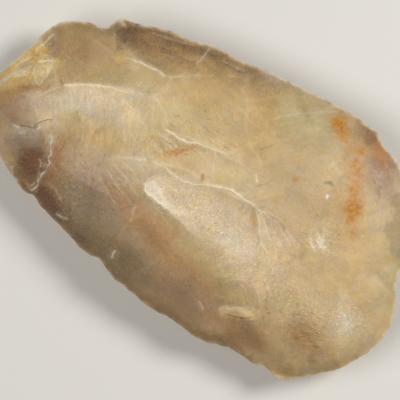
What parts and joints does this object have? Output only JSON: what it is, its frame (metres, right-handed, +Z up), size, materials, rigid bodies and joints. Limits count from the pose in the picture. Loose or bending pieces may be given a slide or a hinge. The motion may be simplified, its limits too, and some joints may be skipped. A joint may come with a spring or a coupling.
{
  "type": "flint celt",
  "caption": "Flaked and partly ground flint axe head, a flat oval blade with a narrow butt, a broad cutting edge and sharp wavy margins, lying on a small ground facet.",
  "frame": {"origin": "centre of the outline, on the plane of the ground facet that the celt lies on", "axes": "+X from the narrow butt to the broad cutting edge, +Y across the blade towards its straighter side, +Z up from the ground facet to the flaked upper face"},
  "size_m": [0.105, 0.062, 0.0217],
  "materials": {
    "flint": "honey and cream coloured flint, ground to a dull polish with waxy flake scars, iron stains and pale edges"
  },
  "bodies": {
    "root": {"celt": "flint"}
  },
  "joints": []
}
